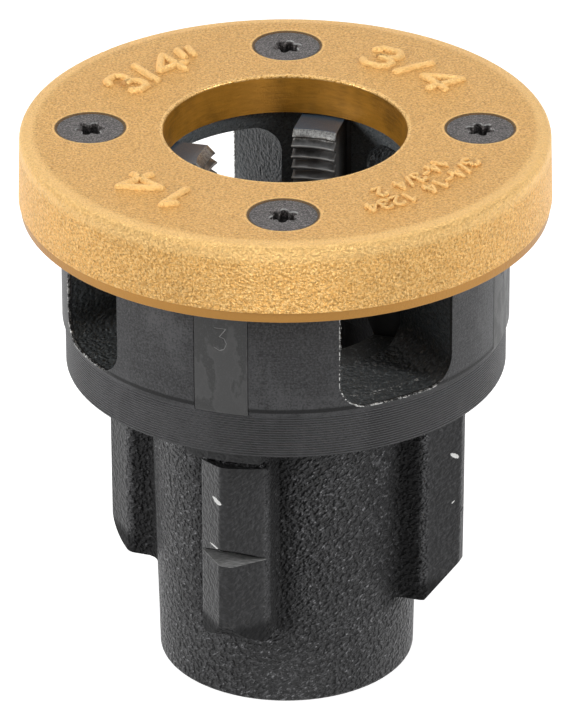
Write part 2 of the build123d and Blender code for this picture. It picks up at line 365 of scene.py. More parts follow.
class Nest(Tree):
    """The node tree of one material, with the place on the object in millimetres."""

    def __init__(self, name):
        self.material = bpy.data.materials.new(name)
        self.material.use_nodes = True
        super().__init__(self.material.node_tree)
        self.place = self.add("ShaderNodeTexCoord", output="Object")
        axes = self.parts(self.add("ShaderNodeSeparateXYZ", None, {0: self.place}))
        self.x, self.y, self.z = (axis / MM for axis in axes)
        self.radius = (self.x * self.x + self.y * self.y) ** 0.5

    def along(self, direction):
        """Distance along a level direction."""
        return self.x * direction.x + self.y * direction.y

    def noise(self, scale, detail, roughness, turn=0.0, lean=0.0):
        """Noise from 0 to 1 with features of about 1 / scale metres.

        Three scales stretch it on the axes, after a turn about Z or a lean about Y in degrees.
        """
        place = self.place
        if turn or lean:
            rotation = (0, math.radians(lean), math.radians(-turn))
            place = self.add("ShaderNodeMapping", None, {"Vector": place, "Rotation": rotation})
        if isinstance(scale, tuple):
            place = self.add("ShaderNodeMapping", None, {"Vector": place, "Scale": scale})
            scale = 1.0
        values = {"Vector": place, "Scale": scale, "Detail": detail, "Roughness": roughness}
        return self.add("ShaderNodeTexNoise", {"noise_dimensions": "3D"}, values)

    def cells(self, scale):
        """Distance to the middle of the nearest of cells about 1 / scale metres wide."""
        values = {"Vector": self.place, "Scale": scale}
        return self.add("ShaderNodeTexVoronoi", {"feature": "F1"}, values, "Distance")

    def spot(self, start, end, width, ragged):
        """Uneven spot between two points."""
        first, last = Vector(start) * MM, Vector(end) * MM
        axis = last - first
        size = (axis.length / 2, width * MM / 2, width * MM / 2)
        values = {
            "Vector": self.place, "Location": (first + last) / 2,
            "Rotation": axis.to_track_quat("X", "Z").to_euler(), "Scale": size}
        local = self.add("ShaderNodeMapping", {"vector_type": "TEXTURE"}, values)
        length = self.add("ShaderNodeVectorMath", {"operation": "LENGTH"}, {0: local}, "Value")
        return (length + (self.noise(3200.0, 2.0, 0.6) - 0.5) * (ragged * 4)).step(1.05, 0.9)

    def mix(self, factor, first, second):
        """Colour between two colours."""
        return self.add("ShaderNodeMix", {"data_type": "RGBA"}, {0: factor, 6: first, 7: second}, 2)

    def between(self, factor, colour, low, high):
        """Colour between two brightnesses of one colour."""
        return self.mix(factor, shade(colour, low), shade(colour, high))

    def coat(self, colour, *coats):
        """Colour under coats, each with its mask, its own colour and how bright that is."""
        for mask, tint, amount in coats:
            colour = self.mix(mask, colour, shade(tint, amount))
        return colour

    def close(self, height, **values):
        """Principled shader over a height field in millimetres, and the output."""
        values = {key.replace("_", " "): value for key, value in values.items()}
        bump = {"Height": height, "Distance": MM, "Strength": 1.0}
        values["Normal"] = self.add("ShaderNodeBump", None, bump)
        self.end("ShaderNodeOutputMaterial", self.add("ShaderNodeBsdfPrincipled", None, values))
        return self.material


def shade(colour, amount=1.0):
    """Colour times a brightness."""
    return tuple(channel * amount for channel in colour[:3]) + (1.0,)


def screw_distance(nest):
    """Distance from the axis of the nearest cover screw."""
    x, y = abs(nest.x), abs(nest.y)
    side = ((x - SCREW_CIRCLE) ** 2.0 + y * y) ** 0.5
    front = (x * x + (y - SCREW_CIRCLE) ** 2.0) ** 0.5
    return side.least(front)


def gold_paint(raised=False):
    """Gold paint over a sand-cast cap: fine grain on top, orange peel round the rim."""
    colours = bpy.context.scene.die_head_colours
    gold, pale, deep, thin = colours.gold, colours.gold_pale, colours.gold_deep, colours.gold_bore
    nest = Nest("raised_gold_paint" if raised else "gold_paint")
    z, radius = nest.z, nest.radius
    rim = radius.step(*RIM)
    band = z.step(COVER_BOTTOM + RIM_BAND + 0.05, COVER_BOTTOM + RIM_BAND - 0.05) * rim
    bore = radius.step(HOLE_RADIUS + 0.12, HOLE_RADIUS + 0.02)
    flat = z.step(COVER_TOP - 0.9, COVER_TOP - 0.3)
    # The shoulder of the rim's rounding gets a painted highlight.
    shoulder_highlight = radius.step(*SHOULDER) * z.step(COVER_TOP - 3.2, COVER_TOP - 1.8)

    fine = nest.noise(3000.0, 3.0, 0.65)
    grit = nest.noise(1500.0, 2.0, 0.6)
    peel = nest.noise(2100.0, 2.0, 0.6)
    broad = nest.noise(90.0, 3.0, 0.5)
    speck = nest.noise(2500.0, 2.0, 0.6)
    streak = nest.noise((420.0, 420.0, 2300.0), 4.0, 0.65)
    stain = nest.noise((75.0, 75.0, 40.0), 3.0, 0.6)

    colour = nest.between(broad.step(0.35, 0.65), gold, 0.93, 1.04)
    if not raised:
        # The flat top is darkened as painted shade.
        colour = nest.coat(colour, (flat, gold, 0.84))
    colour = nest.coat(
        colour,
        (speck.step(0.42, 0.64) * (0.75 - 0.25 * flat), pale, 1.0),
        (fine.step(0.52, 0.34) * 0.7, deep, 0.95),
        (peel.step(0.46, 0.3) * rim * 0.4, deep, 1.0),
        (shoulder_highlight * 0.5, pale, 1.0),
        (band, deep, 0.92))
    # Oiled paint in the bore, darkened as painted shade inside the hole; its lighter streaks partly stand for
    # painted reflections.
    oiled_and_shaded = nest.between(streak.step(0.3, 0.7), thin, 0.36, 0.68)
    oiled_and_shaded = nest.coat(oiled_and_shaded, (stain.step(0.42, 0.62) * 0.6, thin, 1.0))
    colour = nest.mix(bore, colour, oiled_and_shaded)
    if raised:
        # The raised marks are paler as a painted highlight.
        colour = nest.coat(colour, (0.6, pale, 1.05))
    else:
        # Painted highlights on the hole's lip and round each screw, and a painted shadow in the gap round
        # each screw.
        lip_highlight = radius.step(HOLE_RADIUS + 0.6, HOLE_RADIUS + 0.45) * z.step(COVER_TOP - 0.5, COVER_TOP - 0.35)
        top = z.step(COVER_TOP - 2.0, COVER_TOP - 1.0)
        from_screw = screw_distance(nest)
        lit = from_screw.near(SCREW_HEAD + 0.55, 0.16) * top
        gap_shadow = from_screw.step(SCREW_HEAD + 0.36, SCREW_HEAD + 0.26) * top
        colour = nest.coat(
            colour,
            (lip_highlight * fine.step(0.36, 0.54) * 0.7, pale, 1.0),
            (lit * 0.4, pale, 1.0),
            (gap_shadow * 0.9, thin, 0.08))

    machined = (band + bore).cut()
    grain = ((fine - 0.5) * 0.5 + (grit - 0.5) * 0.3) * (1 - rim) + (peel - 0.5) * rim * 1.2
    height = grain * (1 - machined * 0.93) + (streak - 0.5) * bore * 0.01
    return nest.close(
        height, Base_Color=colour, Metallic=0.5, Roughness=0.42 - 0.06 * band - 0.08 * bore)


def window_edge(nest):
    """Signed distance to the outline of the nearest window, and the side that faces left."""
    distances = []
    lefts = []
    for azimuth, width in WINDOWS:
        side = nest.along(sideways(azimuth))
        forward = nest.along(outwards(azimuth))
        half_height = (WINDOW_TOP - SILL) / 2
        across = abs(side) - (width / 2 - SILL_CORNER)
        upright = abs(nest.z - (SILL + half_height)) - (half_height - SILL_CORNER)
        outer = (across.most(0.0) ** 2.0 + upright.most(0.0) ** 2.0) ** 0.5
        inner = across.most(upright).least(0.0)
        facing = abs(forward).step(20.0, 21.0)
        distances.append(outer + inner - SILL_CORNER + (1 - facing) * 100.0)
        lefts.append((side * forward.sign()).step(width / 2 - 1.5, width / 2 - 4))
    second = (distances[0] - distances[1]).step(-1.0, 1.0)
    return distances[0].least(distances[1]), lefts[0] * (1 - second) + lefts[1] * second


def blackened_iron():
    """Oil-blackened iron: satin where it is turned, sandy where it is cast, bare metal at nicks."""
    colours = bpy.context.scene.die_head_colours
    iron = colours.iron
    line_feed = bpy.context.scene.die_head_sizes.line_feed / MM
    nest = Nest("blackened_iron")
    z, radius = nest.z, nest.radius

    head = z.step(HEAD_UNDERSIDE - 0.05, HEAD_UNDERSIDE + 0.15)
    low = 1 - head
    outside = radius.step(HEAD_RADIUS - 0.75, HEAD_RADIUS - 0.6)
    band = head * z.step(STEP_FOOT + 0.1, STEP_FOOT - 0.1) * outside
    ring = z.step(STEP_FOOT + 0.2, STEP_TOP) * outside
    # Painted shadow under the ring's lower edge at the step.
    step_shadow = z.near(STEP_TOP + 0.15, 0.55, 0.7) * outside
    turned = (head * outside).cut()
    cavity = radius.step(CAVITY_RADIUS + 0.3, CAVITY_RADIUS + 0.1) * head
    bore = cavity.most(radius.step(GUIDE_RADIUS + 1.3, GUIDE_RADIUS + 1.1))
    inside = z.step(SILL - 1.55, SILL - 0.85) * (1 - outside)

    # The ribs' ground faces and lands, painted shade in the corners beside them and under the toes, and the
    # notch floor
    corners = [abs(nest.along(outwards(FRONT_RIB + turn))) for turn in (-45, 45)]
    smooth = corners[0].most(corners[1]).step(DRIVE_HALF - 0.3, DRIVE_HALF - 0.12)
    smooth = smooth * radius.step(RIB_FACE, RIB_FACE + 0.6) * low
    smooth = smooth.most(radius.step(LAND_RADIUS, LAND_RADIUS + 0.25) * low)
    outward = abs(nest.along(outwards(FRONT_RIB)))
    across = outward.least(abs(nest.along(sideways(FRONT_RIB))))
    toe = z.step(TOE + 4.2, TOE + 2.2) * radius.step(21.4, 22.0)
    corner_shade = across.step(RIB_HALF + 4.0, RIB_HALF + 0.2) * across.step(RIB_HALF - 0.4, RIB_HALF)
    corner_shade = corner_shade * radius.step(RIB_FACE + 0.2, RIB_FACE - 1.4) * low * z.step(TOE - 2.5, TOE)
    corner_shade = corner_shade.most(toe)
    # Painted highlight on the rounded edge between each rib's face and its flank.
    edge_highlight = across.step(RIB_HALF - 1.3, RIB_HALF - 0.6) * across.step(RIB_HALF + 0.3, RIB_HALF)
    edge_highlight = edge_highlight * low * radius.step(RIB_FACE - 1.0, RIB_FACE - 0.2) * (1 - toe)
    ledge = z.near(NOTCH_FLOOR, 0.11) * outward.step(RIB_FACE - 0.7, RIB_FACE - 0.3)

    sand = nest.noise((1250.0, 1250.0, 1700.0), 1.0, 0.55, lean=30.0)
    lumps = nest.cells(1500.0)
    glint = nest.noise((1300.0, 1300.0, 3000.0), 2.0, 0.55, lean=35.0)
    haze = nest.noise((110.0, 110.0, 60.0), 4.0, 0.65)
    fine = nest.noise(3200.0, 2.0, 0.65)
    broad = nest.noise(75.0, 3.0, 0.5)
    drips = nest.noise((160.0, 160.0, 30.0), 3.0, 0.6)
    rings = nest.noise((40.0, 40.0, 4800.0), 3.0, 0.65)
    tool = nest.noise((900.0, 5200.0, 900.0), 3.0, 0.6, turn=FRONT_RIB + 20)
    chips = nest.noise(1700.0, 2.0, 0.6)
    lines = (z * (2 * math.pi / line_feed)).sine() * 0.5 + 0.5
    # Painted glints: small bright spots on the cast surfaces.
    sparkle = glint.step(0.59, 0.68) * (1 - turned) * (1 - smooth * 0.8) * (1 - inside.most(bore))

    colour = nest.coat(
        nest.between(broad.step(0.3, 0.7), iron, 1.0, 1.25),
        (turned, iron, 1.12),
        (drips.step(0.42, 0.7) * turned * 0.5, iron, 1.4),
        (haze.step(0.46, 0.66) * turned * 0.65, iron, 2.6),
        (rings.step(0.4, 0.75) * ring * 0.45, iron, 2.1),
        (fine.step(0.48, 0.68) * ring * 0.6, iron, 2.6),
        (fine.step(0.5, 0.32) * turned * 0.6, iron, 0.45),
        (lines.step(0.5, 1.0) * band * 0.8, iron, 3.6),
        (step_shadow * 0.9, iron, 0.2),
        # the cast sand is lighter on its high points, partly as its own tone and partly as painted light on
        # the crests
        (sand.step(0.5, 0.66) * (1 - turned) * 0.7, iron, 2.8),
        (sparkle * sand.step(0.42, 0.54) * 0.85, iron, 8.0),
        (edge_highlight * 0.6, iron, 2.3),
        (smooth * 0.7, iron, 0.6))
    # Chip walls inside the windows, lighter towards the top as painted light, with dark pits and painted
    # glints.
    lit_wall = nest.mix(z.step(SILL + 1.5, SILL + 7.0), shade(CHIP_WALL_PAINTED_LIGHT[0]), shade(CHIP_WALL_PAINTED_LIGHT[1]))
    lit_wall = nest.coat(
        lit_wall,
        (fine.step(0.5, 0.36) * 0.6, CHIP_PIT, 1.0),
        (glint.step(0.56, 0.68) * 0.6, CHIP_GLINT, 1.0))
    colour = nest.coat(
        nest.mix(inside * 0.9, colour, lit_wall),
        (bore * (1 - inside) * 0.8, iron, 1.0),
        # painted shade in the rib corners and under the toes
        (corner_shade * 0.75, iron, 0.25))
    colour = nest.mix(ledge, colour, nest.mix(tool.step(0.3, 0.7), shade(MILLED[0]), shade(MILLED[1])))

    edge, left = window_edge(nest)
    at_surface = radius.step(HEAD_RADIUS - 0.5, HEAD_RADIUS - 0.2)
    worn = edge.near(0.0, 0.24, 0.6) * at_surface * left * chips.step(0.45, 0.6)
    wide_window = abs(nest.along(outwards(WINDOWS[0][0]))).step(28.6, 29.1)
    inner_line = z.near(SILL, 0.12) * radius.near(INNER_LINE, 0.55) * chips.step(0.58, 0.66) * wide_window
    bare = worn.most(inner_line)
    for nick in NICKS:
        bare = bare.most(nest.spot(*nick))
    colour = nest.coat(colour, (bare, colours.bare_iron, 1.0))

    cast = (1 - turned) * (1 - smooth * 0.85) * (1 - ledge) * (1 - inside * 0.8) * (1 - bore * 0.9)
    height = ((sand - 0.5) * 1.8 - (lumps - 0.45) * 0.65) * cast + (fine - 0.5) * 0.07
    height = height + (lines - 0.5) * band * 0.3 + (rings - 0.5) * ring * 0.07
    height = height + (tool - 0.5) * ledge * 0.03
    rough = 0.34 + 0.06 * turned + fine * 0.08 - 0.08 * bare + 0.4 * corner_shade
    return nest.close(
        height, Base_Color=colour, Metallic=0.1 + 0.5 * bare, Roughness=rough, Specular_IOR_Level=0.17)


def die_steel(azimuth):
    """Ground tool steel with a dark oxide, bright on its chamfer and crests, stained on its end."""
    steel = bpy.context.scene.die_head_colours.steel
    nest = Nest("die_steel")
    z = nest.z
    centre = outwards(azimuth - 90) * DIE_OFFSET
    x, y = nest.x - centre.x, nest.y - centre.y
    reach = (x * x + y * y) ** 0.5
    crest = (DIE_TOP - z) * math.tan(math.radians(THREAD_TAPER)) + CREST_RADIUS
    crests = (reach - crest).step(0.22, 0.08)
    lead_foot = DIE_TOP - DIE_LEAD
    chamfer = z.step(lead_foot - 0.15, lead_foot) * reach.step(LEAD_RADIUS, LEAD_RADIUS - 0.15)
    teeth = reach.step(TEETH_RADIUS, TEETH_RADIUS - 1.0) * (1 - chamfer)
    end = nest.radius.step(HEAD_RADIUS - 0.6, HEAD_RADIUS - 0.45)
    top = z.step(DIE_TOP - 0.06, DIE_TOP - 0.02)
    # The stamped strokes are lightened as painted light against their shade, standing for their bright edges.
    stamp = end * nest.radius.step(HEAD_RADIUS - 0.04, HEAD_RADIUS - 0.055) * z.step(62.0, 63.0)

    brush = nest.noise((3600.0, 3600.0, 500.0), 3.0, 0.6)
    ground = nest.noise((600.0, 600.0, 4200.0), 3.0, 0.6)
    broad = nest.noise(260.0, 4.0, 0.6)
    fine = nest.noise(3800.0, 2.0, 0.6)
    patch = (nest.noise((300.0, 300.0, 170.0), 4.0, 0.55) + z.step(70.5, 64.5) * 0.14).step(0.55, 0.66)
    rim_of_patch = patch * (1 - patch) * 4

    stained = nest.coat(
        nest.between(patch, steel, 0.66, 1.12),
        (rim_of_patch * 0.4, steel, 1.7),
        (fine.step(0.5, 0.7) * 0.4, steel, 1.6))
    colour = nest.mix(end, nest.between(broad.step(0.35, 0.7), steel, 0.8, 1.25), stained)
    bright = nest.mix(brush.step(0.3, 0.7), shade(GROUND[0]), shade(GROUND[1]))
    colour = nest.coat(
        nest.mix(chamfer * (1 - top) * 0.85, colour, bright),
        (crests * (1 - chamfer) * 0.8, GROUND[1], 1.0),
        (teeth * broad.step(0.3, 0.6) * 0.6, TOOTH, 1.0),
        (top * 0.85, DIE_SHEEN, 1.0),
        (top * fine.step(0.55, 0.7) * 0.5, DIE_GRAIN, 1.0),
        (stamp * 0.7, STAMP_HIGHLIGHT, 1.0))
    height = (ground - 0.5) * 0.02 + (fine - 0.5) * 0.03 + (brush - 0.5) * chamfer * 0.05
    return nest.close(
        height, Base_Color=colour, Metallic=0.35 + 0.4 * chamfer - 0.3 * top,
        Roughness=0.4 + 0.12 * patch * end - 0.05 * chamfer)


def screw_steel():
    """Blackened screw steel with a fine pickled grain."""
    colours = bpy.context.scene.die_head_colours
    nest = Nest("screw_steel")
    grain = nest.noise(2600.0, 3.0, 0.6)
    speck = nest.noise(3600.0, 1.0, 0.5)
    broad = nest.noise(420.0, 2.0, 0.6)
    below = nest.z.step(SCREW_TOP - 0.02, SCREW_TOP - 0.04)
    edge = below * nest.z.step(SCREW_TOP - 0.3, SCREW_TOP - 0.2)
    # Deep in the recess the colour is darkened as painted shade.
    deep = nest.z.step(SCREW_TOP - 0.6, SCREW_TOP - 1.6)
    colour = nest.coat(
        nest.between(broad.step(0.35, 0.7), colours.screw, 0.85, 1.12),
        (speck.step(0.5, 0.64) * 0.8, colours.screw, 3.2),
        (grain.step(0.5, 0.34) * 0.8, colours.screw, 0.25),
        (edge * broad.step(0.4, 0.55) * 0.8, colours.bare_iron, 0.7),
        (deep * 0.6, colours.iron, 0.9))
    return nest.close(
        (grain - 0.5) * 0.22, Base_Color=colour, Metallic=0.25, Roughness=0.42, Specular_IOR_Level=0.25)


def burr_metal():
    """Broken edge metal, some of it bright and some black."""
    colours = bpy.context.scene.die_head_colours
    nest = Nest("burr_metal")
    bright = nest.noise(900.0, 2.0, 0.6).step(0.47, 0.56)
    colour = nest.mix(bright, shade(colours.iron, 1.3), shade(colours.bare_iron))
    height = (nest.noise(5200.0, 2.0, 0.6) - 0.5) * 0.02
    return nest.close(height, Base_Color=colour, Metallic=0.3 + 0.5 * bright, Roughness=0.35)


def pale_floor():
    """White floor that keeps the object's soft shadow."""
    nest = Nest("pale_floor")
    diffuse = nest.add("ShaderNodeBsdfDiffuse", None, {"Color": shade(WHITE, FLOOR_GREY)})
    unlit = nest.add("ShaderNodeEmission", None, {"Strength": 0.0})
    lit = nest.add("ShaderNodeEmission", None, {"Color": WHITE, "Strength": FLOOR_GLOW})
    glow = nest.add("ShaderNodeMixShader", None, {0: nest.seen(), 1: unlit, 2: lit})
    nest.end("ShaderNodeOutputMaterial", nest.add("ShaderNodeAddShader", None, {0: diffuse, 1: glow}))
    return nest.material


# Mesh work

def dress(obj, material):
    """Gives an object one material."""
    obj.data.materials.clear()
    obj.data.materials.append(material)


def new_object(name, data):
    obj = bpy.data.objects.new(name, data)
    bpy.context.collection.objects.link(obj)
    return obj


def merged_copy(node, name):
    """Copy of a CAD node's mesh with its points merged and its flat triangles joined."""
    source = nodes[node]
    grid = bmesh.new()
    grid.from_mesh(source.data)
    grid.transform(source.matrix_world)
    bmesh.ops.remove_doubles(grid, verts=grid.verts, dist=0.001 * MM)
    bmesh.ops.dissolve_limit(
        grid, angle_limit=math.radians(0.4), use_dissolve_boundaries=False,
        verts=grid.verts, edges=grid.edges, delimit=set())
    mesh = bpy.data.meshes.new(name)
    grid.to_mesh(mesh)
    grid.free()
    for layer in ("custom_normal", "sharp_face", "sharp_edge"):
        if layer in mesh.attributes:
            mesh.attributes.remove(mesh.attributes[layer])
    mesh.materials.clear()
    return new_object(name, mesh)


def weigh_edges(obj, weigh):
    """Sets how far each edge is rounded: weigh gives it from 0 to 1 for the edge's ends in millimetres."""
    mesh = obj.data
    grid = bmesh.new()
    grid.from_mesh(mesh)
    weights = grid.edges.layers.float.new("bevel_weight_edge")
    for edge in grid.edges:
        if len(edge.link_faces) == 2 and edge.calc_face_angle(0) > math.radians(ROUNDED_ANGLE):
            edge[weights] = weigh(*(vertex.co / MM for vertex in edge.verts))
    grid.to_mesh(mesh)
    grid.free()


def round_edges(obj, width, segments=2):
    """Rounds the weighed edges and shades the result smoothly."""
    bevel = obj.modifiers.new("round", "BEVEL")
    bevel.limit_method = "WEIGHT"
    bevel.width = width
    bevel.segments = segments
    bevel.use_clamp_overlap = False
    bevel.miter_outer = "MITER_ARC"
    settle(obj)
    shade_smooth(obj)


def shade_smooth(obj):
    """Shades a piece smoothly but for its sharp edges, with large faces kept flat."""
    for face in obj.data.polygons:
        face.use_smooth = True
    obj.data.set_sharp_from_angle(angle=math.radians(SHARP_ANGLE))
    weighted = obj.modifiers.new("normals", "WEIGHTED_NORMAL")
    weighted.keep_sharp = True
    settle(obj)


def settle(obj):
    """Makes what the object's modifiers give its plain mesh."""
    graph = bpy.context.evaluated_depsgraph_get()
    mesh = bpy.data.meshes.new_from_object(obj.evaluated_get(graph))
    old = obj.data
    obj.modifiers.clear()
    obj.data = mesh
    mesh.name = obj.name
    if not old.users:
        bpy.data.meshes.remove(old)


def settle_in(obj, material_slot, *replaced):
    """Binds a finished piece to the body and hides the parts that it replaces."""
    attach(obj, BODY)
    if replaced:
        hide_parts(*replaced)


class Grower(Tree):
    """A Geometry Nodes tree with named inputs that ends in Realize Instances and Set Material."""

    def __init__(self, name):
        self.group = bpy.data.node_groups.new(name, "GeometryNodeTree")
        super().__init__(self.group)
        self.values = {}
        for side in ("INPUT", "OUTPUT"):
            self.group.interface.new_socket("Geometry", in_out=side, socket_type="NodeSocketGeometry")

    def take(self, name, kind, value):
        """Adds a named input and keeps the value that it is given."""
        socket = self.group.interface.new_socket(name, in_out="INPUT", socket_type=kind)
        self.values[socket.identifier] = value

    def given(self, name):
        """Socket of a named input."""
        return self.add("NodeGroupInput", output=name)

    def random(self, low, high):
        """Random vector between two, from the tree's seed."""
        values = {"Min": low, "Max": high, "Seed": self.given("Seed")}
        return self.add("FunctionNodeRandomValue", {"data_type": "FLOAT_VECTOR"}, values)

    def finish(self, obj, geometry, material):
        """Ends the tree, runs it on an object and leaves its plain mesh."""
        real = self.add("GeometryNodeRealizeInstances", None, {"Geometry": geometry})
        painted = self.add("GeometryNodeSetMaterial", None, {"Geometry": real, "Material": material})
        self.end("NodeGroupOutput", painted)
        modifier = obj.modifiers.new("grow", "NODES")
        modifier.node_group = self.group
        for identifier, value in self.values.items():
            modifier[identifier] = value
        settle(obj)


# Strokes of the generic numerals, each in a box one wide and one high
STROKES = {
    "1": [[(0.2, 0.78), (0.6, 1.0), (0.6, 0.0)]],
    "2": [[(0.05, 0.8), (0.2, 1.0), (0.8, 1.0), (0.95, 0.8), (0.9, 0.58), (0.05, 0.0), (1.0, 0.0)]],
    "3": [[(0.05, 0.84), (0.25, 1.0), (0.75, 1.0), (0.93, 0.84), (0.93, 0.66), (0.75, 0.54), (0.4, 0.52)],
          [(0.4, 0.52), (0.8, 0.48), (1.0, 0.34), (1.0, 0.16), (0.78, 0.0), (0.22, 0.0), (0.0, 0.17)]],
    "flat 3": [[(0.05, 1.0), (0.95, 1.0), (0.45, 0.62), (0.8, 0.57), (1.0, 0.34), (0.8, 0.08), (0.45, 0.0),
                (0.05, 0.11)]],
    "4": [[(0.72, 0.0), (0.72, 1.0), (0.0, 0.32), (1.0, 0.32)]],
    "/": [[(0.0, 0.0), (1.0, 1.0)]],
    "-": [[(0.1, 0.5), (0.9, 0.5)]],
    "ticks": [[(0.0, 0.62), (0.12, 1.04)], [(0.72, 0.62), (0.84, 1.04)]],
}


def stroke_mesh(name, strokes, thickness):
    """Round strokes through points in metres."""
    data = bpy.data.curves.new(name, "CURVE")
    data.dimensions = "3D"
    data.bevel_depth = thickness / 2
    data.bevel_resolution = 3
    data.use_fill_caps = True
    for points in strokes:
        spline = data.splines.new("POLY")
        spline.points.add(len(points) - 1)
        for point, place in zip(spline.points, points):
            point.co = (*place, 1.0)
    obj = new_object(name, data)
    graph = bpy.context.evaluated_depsgraph_get()
    mesh = bpy.data.meshes.new_from_object(obj.evaluated_get(graph))
    bpy.data.objects.remove(obj)
    bpy.data.curves.remove(data)
    mesh.name = name
    grid = bmesh.new()
    grid.from_mesh(mesh)
    bmesh.ops.remove_doubles(grid, verts=grid.verts, dist=0.002 * MM)
    for points in strokes:
        for place in points:
            ball = bmesh.ops.create_icosphere(grid, subdivisions=2, radius=thickness / 2)
            bmesh.ops.translate(grid, verts=ball["verts"], vec=place)
    bmesh.ops.recalc_face_normals(grid, faces=grid.faces)
    grid.to_mesh(mesh)
    grid.free()
    for face in mesh.polygons:
        face.use_smooth = True
    return mesh


def divide(points, longest):
    """Points of a polyline with none further apart than a length."""
    result = [points[0]]
    for start, end in zip(points, points[1:]):
        count = max(1, math.ceil(math.dist(start, end) / longest))
        for index in range(1, count + 1):
            result.append(tuple(a + (b - a) * index / count for a, b in zip(start, end)))
    return result


def top_strokes(glyph, start, end, foot, height):
    """Strokes of a glyph on the cover's top between two azimuths, read clockwise from above."""
    middle = math.radians(abs(start - end)) * (foot + height / 2)
    result = []
    for stroke in STROKES[glyph]:
        flat = divide([(u * middle, v * height) for u, v in stroke], MARK_PIECE)
        result.append([(start + (end - start) * u / middle, foot + v) for u, v in flat])
    return result


# Operators

class DIEHEAD_OT_stage(bpy.types.Operator):
    """Camera at the photograph's view, pale floor and soft studio lamps"""
    bl_idname = "die_head.stage"
    bl_label = "Stage"

    def execute(self, context):
        stage = context.scene.die_head_stage
        target = Vector((stage.target_shift, 0, stage.target_height))
        reach = stage.distance * math.cos(stage.elevation)
        place = target + Vector((0, -reach, stage.distance * math.sin(stage.elevation)))
        forward = (target - place).normalized()
        right = Vector((1, 0, 0))
        up = right.cross(forward)
        cosine, sine = math.cos(stage.roll), math.sin(stage.roll)
        side = right * cosine + up * sine
        top = up * cosine - right * sine
        matrix = Matrix((side, top, -forward)).transposed().to_4x4()
        matrix.translation = place
        data = bpy.data.cameras.new("camera")
        data.lens = stage.lens
        data.sensor_width = 36.0
        data.clip_end = 10.0
        camera = new_object("camera", data)
        camera.matrix_world = Matrix.Rotation(stage.azimuth, 4, "Z") @ matrix
        context.scene.camera = camera

        bpy.ops.mesh.primitive_plane_add(size=FLOOR_SIZE, location=(0, 0, -FLOOR_DROP * MM))
        floor = context.object
        floor.name = "floor"
        dress(floor, pale_floor())

        for name, azimuth, elevation, distance, width, height, power in LAMPS:
            lamp = bpy.data.lights.new(name, "AREA")
            lamp.shape = "RECTANGLE"
            lamp.size, lamp.size_y = width, height
            lamp.energy = power
            obj = new_object(name, lamp)
            rise = math.radians(elevation)
            out = outwards(azimuth) * math.cos(rise) + Vector((0, 0, math.sin(rise)))
            obj.location = Vector((0, 0, LAMP_AIM * MM)) + out * distance
            obj.rotation_euler = out.to_track_quat("Z", "Y").to_euler()

        world = bpy.data.worlds.new("studio")
        context.scene.world = world
        world.use_nodes = True
        sky = Tree(world.node_tree)
        dim = sky.add("ShaderNodeBackground", None, {"Color": WHITE, "Strength": WORLD_LIGHT})
        white = sky.add("ShaderNodeBackground", None, {"Color": WHITE, "Strength": 1.0})
        mixed = sky.add("ShaderNodeMixShader", None, {0: sky.seen(), 1: dim, 2: white})
        sky.end("ShaderNodeOutputWorld", mixed)
        context.scene.view_settings.view_transform = "Standard"
        return {"FINISHED"}


class DIEHEAD_OT_body(bpy.types.Operator):
    """Cast and turned body with rounded edges"""
    bl_idname = "die_head.body"
    bl_label = "Body"

    def execute(self, context):
        sizes = context.scene.die_head_sizes
        share = sizes.turned_edge / sizes.cast_edge

        def weigh(first, last):
            middle = (first + last) / 2
            radius = math.hypot(middle.x, middle.y)
            if middle.z < HEAD_UNDERSIDE - 0.1:
                upright = abs(first.z - last.z) > RIB_EDGE
                return 1.0 if upright and radius > LAND_RADIUS - 1 else 0.0
            return 0.0 if abs(middle.z - STEP_TOP) < 0.2 else share

        body = merged_copy("body", "body_casting")
        weigh_edges(body, weigh)
        round_edges(body, sizes.cast_edge)
        dress(body, blackened_iron())
        settle_in(body, "black_iron", "body")
        return {"FINISHED"}


